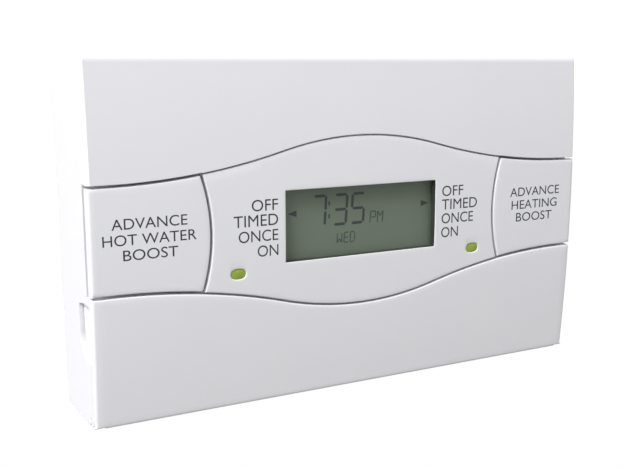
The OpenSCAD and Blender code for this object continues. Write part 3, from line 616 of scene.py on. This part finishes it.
# %% Strokes as flat bars on the glass
INK = 0.02
CORNERS = {"a": (0, 2, 1, 2), "b": (1, 2, 1, 1), "c": (1, 1, 1, 0), "d": (0, 0, 1, 0),
           "e": (0, 1, 0, 0), "f": (0, 2, 0, 1), "g": (0, 1, 1, 1)}
DIGITS = {"7": "abc", "3": "abcdg", "5": "acdfg"}
LETTERS = {"P": [(0, 0, 0, 2), (0, 2, 1, 2), (1, 2, 1, 1), (0, 1, 1, 1)],
           "M": [(0, 0, 0, 2), (0, 2, 0.5, 1.1), (0.5, 1.1, 1, 2), (1, 2, 1, 0)],
           "W": [(0, 2, 0, 0), (0, 0, 0.5, 0.9), (0.5, 0.9, 1, 0), (1, 0, 1, 2)],
           "E": [(0, 0, 0, 2), (0, 2, 1, 2), (0, 1, 0.9, 1), (0, 0, 1, 0)],
           "D": [(0, 0, 0, 2), (0, 2, 0.8, 2), (0.8, 2, 1, 1.6), (1, 1.6, 1, 0.4),
                 (1, 0.4, 0.8, 0), (0.8, 0, 0, 0)]}


def flat_bar(ring, mid):
    """A closed outline raised by INK from the glass: rings of size 0, 1, 1, 0 about mid."""
    size = np.array([0, 1, 1, 0])[:, None, None]
    flat = mid + (ring - mid) * size
    y = np.broadcast_to(glass_front - INK * np.array([1, 1, 0, 0])[:, None], flat.shape[:2])
    return np.stack([flat[..., 0], y, flat[..., 1]], -1)


def stroke(p, q, width, gap):
    """A bar of the given width from p to q, shortened by gap and pointed at both ends."""
    p, q = np.array(p, float), np.array(q, float)
    d = (q - p) / np.linalg.norm(q - p)
    side = np.array([-d[1], d[0]]) * width / 2
    p, q = p + d * gap, q - d * gap
    back = d * width * 0.45
    ring = np.array([p, p + back + side, q - back + side, q, q - back - side, p + back - side, p])
    mid = (p + q) / 2
    return flat_bar(ring, mid)


def character(strokes, at, size, width, gap):
    """A character's strokes in a cell of the given size, leaning by a few degrees."""
    lean = 0.06
    made = []
    for x0, z0, x1, z1 in strokes:
        ends = [(at[0] + size[0] * x + lean * size[1] * z / 2, at[1] + size[1] * z / 2)
                for x, z in ((x0, z0), (x1, z1))]
        made.append(stroke(ends[0], ends[1], width, gap))
    return made


# %% Build the display's picture
big, small = [], []
digit = np.array([3.5, 7.6])
bold, thin = 0.72, 0.3
for mark, x in zip("735", (-13.3, -7.2, -2.1)):
    big += character([CORNERS[c] for c in DIGITS[mark]], (x, 0.2), digit, bold, 0.1)
for z in (1.9, 5.2):
    big.append(stroke((-8.5, z), (-8.5, z + 1.1), 0.5, -0.1))
for mark, x in zip("PM", (3.5, 5.7)):
    small += character(LETTERS[mark], (x, -0.3), (1.6, 3.1), thin, 0.02)
for mark, x in zip("WED", (-6.2, -4.2, -2.4)):
    small += character(LETTERS[mark], (x, -4.7), (1.3, 2.6), thin, 0.02)


def pointer(tip, tail, z):
    """A solid triangle that points from tail to tip."""
    ring = np.array([[tip, z], [tail, z + 0.85], [tail, z - 0.85], [tip, z]])
    mid = ring[:3].mean(0)
    return flat_bar(ring, mid)


big += [pointer(-20.1, -17.7, 3.85), pointer(21.6, 19.2, 3.85)]
segments = make_piece("display_segments", big, "case")
words = make_piece("display_small_segments", small, "case")

# %% [markdown]
# ## Printed legends
#
# The legends are pad printed in dark grey: plain words that name what each position and
# button does. Text objects give the letters. Each word is made a mesh, fitted to its cap
# height and width, and laid on the curved front, where it stands as thick as ink.

# %% Letters laid on the front
PRINT = 0.015


def word(text, x, z, cap, width, align, body):
    """A word of the given cap height and width, its anchor at x and its foot at z."""
    curve = bpy.data.curves.new("word", "FONT")
    curve.body = text
    curve.resolution_u = 6
    source = bpy.data.objects.new("word", curve)
    bpy.context.scene.collection.objects.link(source)
    bpy.context.view_layer.update()
    graph = bpy.context.evaluated_depsgraph_get()
    mesh = bpy.data.meshes.new_from_object(source.evaluated_get(graph))
    bpy.data.objects.remove(source)
    bpy.data.curves.remove(curve)
    co = np.zeros(len(mesh.vertices) * 3)
    mesh.vertices.foreach_get("co", co)
    co = co.reshape(-1, 3)
    lo, hi = co.min(0), co.max(0)
    flat = (co[:, :2] - lo[:2]) / (hi - lo)[:2]
    start = {"left": x, "right": x - width, "centre": x - width / 2}[align]
    px, pz = start + flat[:, 0] * width, z + flat[:, 1] * cap
    mesh.vertices.foreach_set("co", (np.stack([px, front_y(pz) - PRINT, pz], -1) * MM).ravel())
    mesh.update()
    piece = bpy.data.objects.new("print_" + text.replace(" ", "_").lower(), mesh)
    bpy.context.scene.collection.objects.link(piece)
    solid = piece.modifiers.new("ink", "SOLIDIFY")
    solid.thickness = PRINT * MM
    solid.offset = -1
    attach(piece, body)
    return piece


# %% Print the words
legend = [("OFF", 5.75, 6.9), ("TIMED", 2.1, 11.6), ("ONCE", -1.7, 10.4), ("ON", -5.5, 5.5)]
prints = []
for text, z, width in legend:
    for side, align in ((-1, "right"), (1, "left")):
        piece = word(text, side * 24.1, z, 2.8, width, align, "case")
        piece.name += "_left" if side < 0 else "_right"
        prints.append(piece)
for side, middle_word, middle_width in ((-1, "HOT WATER", 22.0), (1, "HEATING", 16.4)):
    body = "left_button" if side < 0 else "right_button"
    lines = [("ADVANCE", 4.0, 17.7), (middle_word, 0.35, middle_width), ("BOOST", -3.2, 12.9)]
    for text, z, width in lines:
        piece = word(text, side * 56.0, z, 2.5, width, "centre", body)
        piece.name += "_left" if side < 0 else "_right"
        prints.append(piece)
print("printed words:", len(prints))

# %% [markdown]
# ## Programming keys
#
# The keys behind the flap are soft-edged caps with a shallow dish for the fingertip. The
# cap, its flange and its stem are one profile carried round an oblong outline: rings of
# the outline at rising depth, with the last rings drawn in to the stem.

# %% A key as rings of an oblong


def oblong_ring(w, h, grow, n=16):
    """Points round a bar with round ends, w by h, grown by grow."""
    r, run = h / 2, (w - h) / 2
    a = np.linspace(-math.pi / 2, math.pi / 2, n)
    right_x, right_z = run + (r + grow) * np.cos(a), (r + grow) * np.sin(a)
    x = np.concatenate([right_x, -right_x, right_x[:1]])
    z = np.concatenate([right_z, -right_z, right_z[:1]])
    return x, z


def key_grid(node):
    """Dished cap, rounded edge, wall, flange and stem of one key, from its node's box."""
    lo, hi = box_mm(node)
    mid = (lo + hi) / 2
    w, h = hi[0] - lo[0] - 1.6, hi[2] - lo[2] - 1.6
    r, dish, top = 0.4, 0.25, lo[1]
    flange, flange_t, foot_r = top + 2.7, 0.8, 1.2
    face = np.linspace(0, 1, 7)[:-1]
    rows = [((h / 2 - r) * f - h / 2, top + dish * (1 - f**2) ** 2) for f in face]
    rows += list(zip(-r * edge_in, top + r * edge_back))
    rows += [(0, flange), (flange_t, flange), (flange_t, flange + flange_t)]
    made = []
    for grow, y in rows:
        x, z = oblong_ring(w, h, grow)
        made.append(np.stack([mid[0] + x, np.full_like(x, y), mid[2] + z], -1))
    x, z = oblong_ring(2 * foot_r, 2 * foot_r - 0.001, 0)
    for f, y in ((1, flange + flange_t), (1, hi[1]), (0, hi[1])):
        made.append(np.stack([mid[0] + f * x, np.full_like(x, y), mid[2] + f * z], -1))
    grid = np.stack(made)
    grid[0, :, 2] = mid[2]
    return grid


# %% Build the keys
keys = []
for node in [n for n in nodes if n.endswith("_key") or n.startswith("select_key")]:
    piece = make_piece(node + "_cap", [key_grid(node)], node, stands_for=[node])
    keys.append(piece)
print("keys:", [k.name for k in keys])

# %% [markdown]
# ## Materials
#
# Each finish starts from the real material. Colours are written as sRGB hex and turned to
# linear light once. Patterns are set in millimetres: a noise whose scale is one over the
# size of a grain. A tool-made part also has a tiny radius on every edge, so the pieces
# that come straight from the solid model get it from a bevel on their shading normal.

# %% Colours and one helper that adds nodes


def linear(code):
    """An sRGB hex colour as linear RGBA."""
    c = np.array([int(code[i:i + 2], 16) for i in (1, 3, 5)]) / 255
    c = np.where(c <= 0.04045, c / 12.92, ((c + 0.055) / 1.055) ** 2.4)
    return (*c.tolist(), 1.0)


def add(tree, kind, inputs=(), **settings):
    """Adds a node; inputs maps a socket's name or number to a value or to another socket."""
    node = tree.nodes.new(kind)
    for key, value in settings.items():
        setattr(node, key, value)
    for key, value in dict(inputs).items():
        if isinstance(value, bpy.types.NodeSocket):
            tree.links.new(value, node.inputs[key])
        else:
            node.inputs[key].default_value = value
    return node


def new_material(name):
    """An empty material and its output node."""
    material = bpy.data.materials.new(name)
    material.use_nodes = True
    material.node_tree.nodes.clear()
    return material, add(material.node_tree, "ShaderNodeOutputMaterial")


# %% The common surface: cloudy colour, fine grain, soft edges
MAP_CENTRE = (0.0, 0.0137, 0.0)


ROUGH_SPREAD = 0.06


def surface(name, colour, other, roughness, grain_mm, grain_depth, cloud_mm=22.0, ior=1.5,
            metallic=0.0, stretch=(1, 1, 1), edge_mm=0.25, **sockets):
    """A moulded, pressed or drawn surface in real sizes, on Object coordinates."""
    material, out = new_material(name)
    tree = material.node_tree
    where = add(tree, "ShaderNodeTexCoord")
    place = add(tree, "ShaderNodeMapping", {"Vector": where.outputs["Object"],
                                            "Location": MAP_CENTRE, "Scale": stretch})
    cloud = add(tree, "ShaderNodeTexNoise", {"Vector": place.outputs[0],
                                             "Scale": 1 / (cloud_mm * MM), "Detail": 3.0})
    grain = add(tree, "ShaderNodeTexNoise", {"Vector": place.outputs[0],
                                             "Scale": 1 / (grain_mm * MM), "Detail": 2.0})
    shade = add(tree, "ShaderNodeMix", {0: cloud.outputs["Fac"], 6: linear(colour),
                                        7: linear(other)}, data_type="RGBA")
    rough = add(tree, "ShaderNodeMapRange", {
        "Value": cloud.outputs["Fac"], "To Min": roughness - ROUGH_SPREAD,
        "To Max": roughness + ROUGH_SPREAD})
    normal = {}
    if edge_mm:
        bevel = add(tree, "ShaderNodeBevel", {"Radius": edge_mm * MM}, samples=4)
        normal = {"Normal": bevel.outputs[0]}
    bump = add(tree, "ShaderNodeBump", {
        "Height": grain.outputs["Fac"], "Distance": grain_depth * MM, "Strength": 0.6, **normal})
    shader = add(tree, "ShaderNodeBsdfPrincipled", {
        "Base Color": shade.outputs[2], "Roughness": rough.outputs[0], "IOR": ior,
        "Metallic": metallic, "Normal": bump.outputs[0], **sockets})
    tree.links.new(shader.outputs[0], out.inputs[0])
    return material


# %% [markdown]
# ### White ABS
#
# The case is injection-moulded ABS in a white with a hint of blue-grey. The tool is spark
# eroded, so the skin is satin with a grain of a few tenths of a millimetre, drawn here a
# little coarser than life so that it shows. The same finish without the shading bevel
# goes on the new pieces, whose edges are already round. Lettering is printed with a matt
# ink that hides the white. The walls of the window get a dark green-grey as painted shade,
# standing for the shadow that falls into the recess beside the glass.

# %% Plastics
white_solid = surface("white_abs_moulded", "#dcdcdf", "#d8d8dc", 0.42, 0.5, 0.006)
white_piece = surface("white_abs_visible", "#dcdcdf", "#d8d8dc", 0.42, 0.5, 0.006, edge_mm=0)
grey_solid = surface("light_grey_abs", "#c9cbcc", "#c2c4c6", 0.48, 0.5, 0.01)
grey_key = surface("grey_abs_keys", "#b9bcbe", "#b2b5b8", 0.5, 0.4, 0.012, edge_mm=0)
black_solid = surface("black_nylon_moulded", "#202224", "#2b2d30", 0.55, 0.4, 0.015)
# Painted shade: this dark green-grey goes on the window's walls and stands for the shadow in the display's recess.
painted_recess_shade = surface("painted_window_shade", "#2c302a", "#30342e", 0.5, 0.4, 0.004, edge_mm=0)
print_ink = surface("pad_printed_ink", "#323338", "#38393e", 0.6, 0.3, 0.002, edge_mm=0, ior=1.45)

# %% [markdown]
# ### Clear and coloured acrylic
#
# The pane is clear and the lenses are tinted green through their depth. A clear pane only
# shows its reflections, so it mixes a see-through shader with gloss by Fresnel, which
# also lets light fall on the glass behind. Light that leaves through a back face passes
# straight on, or the thin plate would act like a solid block of acrylic. The lenses
# scatter, so they look lit.

# %% Acrylic pane and green lens
pane_clear, out = new_material("clear_acrylic_pane")
tree = pane_clear.node_tree
fresnel = add(tree, "ShaderNodeFresnel", {"IOR": 1.49})
side_seen = add(tree, "ShaderNodeNewGeometry")
share = add(tree, "ShaderNodeMix", {
    0: side_seen.outputs["Backfacing"], 2: fresnel.outputs[0], 3: 0.0})
through = add(tree, "ShaderNodeBsdfTransparent", {"Color": linear("#f4f7f4")})
gloss = add(tree, "ShaderNodeBsdfGlossy", {"Color": linear("#ffffff"), "Roughness": 0.06})
mix = add(tree, "ShaderNodeMixShader", {0: share.outputs[0], 1: through.outputs[0],
                                        2: gloss.outputs[0]})
tree.links.new(mix.outputs[0], out.inputs[0])
lens_green = surface("green_acrylic_light_guide", "#84982a", "#93a838", 0.22, 0.8, 0.002,
                     cloud_mm=2.0, ior=1.49, edge_mm=0, **{
                         "Subsurface Weight": 0.35, "Subsurface Radius": (0.001, 0.0015, 0.0004),
                         "Coat Weight": 0.5, "Coat Roughness": 0.05})

# %% [markdown]
# ### Liquid-crystal glass
#
# The glass carries a grey-green polariser with a slightly silky reflector behind it. The
# strokes of the display are the same film turned dark, the small ones turned less.

# %% Display finishes
lcd_film = surface("lcd_polariser_film", "#848a80", "#80867b", 0.32, 0.15, 0.001, cloud_mm=30.0,
                   edge_mm=0)
lcd_dark = surface("lcd_dark_strokes", "#44444b", "#46464c", 0.4, 0.2, 0.001, edge_mm=0)
lcd_faint = surface("lcd_faint_strokes", "#4d514c", "#50544f", 0.4, 0.2, 0.001, edge_mm=0)

# %% [markdown]
# ### Board, metal and parts on the board
#
# The board is glass-epoxy laminate under green solder mask. Screws and pins are
# zinc-plated steel with a fine brushed streak, and the terminals are turned and sawn
# brass. Relay cases are blue polyester, film capacitors yellow boxes, and the cell wears
# a green shrink sleeve.

# %% Board and parts
laminate = surface("solder_masked_laminate", "#1c5a38", "#174d30", 0.35, 0.8, 0.01, cloud_mm=6.0)
steel = surface("zinc_plated_steel", "#c2c4c8", "#aeb0b5", 0.3, 0.25, 0.006, cloud_mm=3.0,
                metallic=1.0, stretch=(1, 1, 6))
brass = surface("sawn_brass", "#c8a356", "#b58f45", 0.34, 0.2, 0.008, cloud_mm=3.0,
                metallic=1.0, stretch=(6, 1, 1))
relay_blue = surface("blue_polyester_case", "#24406f", "#1f3862", 0.4, 0.4, 0.008)
film_yellow = surface("yellow_film_box", "#c8a52e", "#bd9a26", 0.38, 0.4, 0.006)
sleeve_green = surface("green_shrink_sleeve", "#3f8a52", "#387e49", 0.3, 0.6, 0.01, cloud_mm=8.0)

# %% Give every piece its finish
BY_SLOT = {"white_abs": white_solid, "clear_acrylic": pane_clear, "lcd_glass": lcd_film,
           "black_plastic": black_solid, "green_lens": lens_green, "grey_abs": grey_solid,
           "board_laminate": laminate, "zinc_steel": steel, "relay_case": relay_blue,
           "film_box": film_yellow, "cell_sleeve": sleeve_green, "brass": brass}
slot_of = {part["node"]: part["material_slot"] for part in frame["record"]["subparts"]}


def dress(piece, material):
    """The piece's only material."""
    piece.data.materials.clear()
    piece.data.materials.append(material)


for name, node in nodes.items():
    dress(node, BY_SLOT[slot_of[name]])
for piece in (panel, left, right, flap):
    dress(piece, white_piece)
for piece in keys:
    dress(piece, grey_key)
for piece in prints:
    dress(piece, print_ink)
for piece in lens_pieces:
    dress(piece, lens_green)
dress(pane, pane_clear)
dress(segments, lcd_dark)
dress(words, lcd_faint)
print("materials:", len(bpy.data.materials))

# %% [markdown]
# ### Painted shade round the display
#
# The walls of the panel's window are painted dark as painted shade. It stands for the
# shadow that falls into the recess beside the glass, so that no white edge shows there. The
# panel gets the dark colour as a second material, and each face whose centre lies in the
# window's opening takes it. The back of the panel is left white.

# %% Paint shade on the window's walls
faces = panel.data.polygons
centre = np.zeros(len(faces) * 3)
faces.foreach_get("center", centre)
centre = centre.reshape(-1, 3) / MM
painted_shade_faces = (np.abs(centre[:, [0, 2]] - [0, band_z]) < window_half + 0.02).all(1)
# Painted shade: the window's walls take the dark colour that stands for the shadow in the recess.
panel.data.materials.append(painted_recess_shade)
painted_shade_faces &= centre[:, 1] < panel_back - 0.01
faces.foreach_set("material_index", painted_shade_faces.astype(np.int32))
print("dark faces:", int(painted_shade_faces.sum()), "of", len(faces))

# %% [markdown]
# ## Camera, floor and light
#
# The camera stands to the left of the case and a little above it. Its long lens keeps the
# far side from shrinking too much, and a small shift sets the case in the frame. The
# stage is plain: a pale floor, a surround that is brighter above than below, a broad soft
# light from the upper left, and a weaker one from the left, which makes the side of the
# case the brightest face. Floor and surround look white to the camera, yet they light the
# case softly.

# %% Camera
scene = bpy.context.scene
camera = bpy.data.objects.new("camera", bpy.data.cameras.new("camera"))
scene.collection.objects.link(camera)
camera.location = np.array([-125.3, -243.4, 46.3]) * MM
camera.rotation_euler = Euler(np.radians([78.127, -0.813, -30.956]).tolist())
camera.data.sensor_width = 36.0
camera.data.lens = 57.3
camera.data.shift_x = -0.1123
camera.data.shift_y = 0.0250
camera.data.clip_start = 0.01
scene.camera = camera

# %% Floor, surround and lights


def area_light(name, at, target, size, watts):
    """A square soft light at a point, aimed at another, both in metres."""
    data = bpy.data.lights.new(name, "AREA")
    data.shape = "SQUARE"
    data.size = size
    data.energy = watts
    light = bpy.data.objects.new(name, data)
    light.location = at
    light.rotation_euler = (Vector(target) - Vector(at)).to_track_quat("-Z", "Y").to_euler()
    scene.collection.objects.link(light)
    return light


floor_z = -0.12
corners = np.array([[-3, -3], [3, -3], [3, 3], [-3, 3]], float)
floor_mesh = bpy.data.meshes.new("floor")
floor_mesh.from_pydata(np.column_stack([corners, np.full(4, floor_z)]), [], [[0, 1, 2, 3]])
floor = bpy.data.objects.new("floor", floor_mesh)
scene.collection.objects.link(floor)
floor_paint, out = new_material("pale_floor_paint")
tree = floor_paint.node_tree
path = add(tree, "ShaderNodeLightPath")
matt = add(tree, "ShaderNodeBsdfDiffuse", {"Color": linear("#989898")})
pale = add(tree, "ShaderNodeEmission", {"Color": linear("#ffffff"), "Strength": 1.0})
mix = add(tree, "ShaderNodeMixShader", {0: path.outputs["Is Camera Ray"], 1: matt.outputs[0],
                                        2: pale.outputs[0]})
tree.links.new(mix.outputs[0], out.inputs[0])
dress(floor, floor_paint)

world = bpy.data.worlds.new("surround")
world.use_nodes = True
scene.world = world
world.node_tree.nodes.clear()
tree = world.node_tree
path = add(tree, "ShaderNodeLightPath")
where = add(tree, "ShaderNodeTexCoord")
height = add(tree, "ShaderNodeSeparateXYZ", {0: where.outputs["Generated"]})
room = add(tree, "ShaderNodeMapRange", {
    "Value": height.outputs["Z"], "From Min": -1.0, "From Max": 1.0,
    "To Min": 0.37, "To Max": 0.86})
glow = add(tree, "ShaderNodeMix", {0: path.outputs["Is Camera Ray"], 2: room.outputs[0], 3: 1.1})
sky = add(tree, "ShaderNodeBackground", {"Color": (1, 1, 1, 1), "Strength": glow.outputs[0]})
add(tree, "ShaderNodeOutputWorld", {"Surface": sky.outputs[0]})
area_light("key", (-0.72, -0.40, 0.88), (0, 0, 0), 0.5, 17.2)
area_light("left_fill", (-1.1, 0.05, 0.0), (0, 0, 0), 0.5, 3.6)
scene.view_settings.view_transform = "Standard"
print("camera", tuple(round(c, 3) for c in camera.location), "lights", 2)
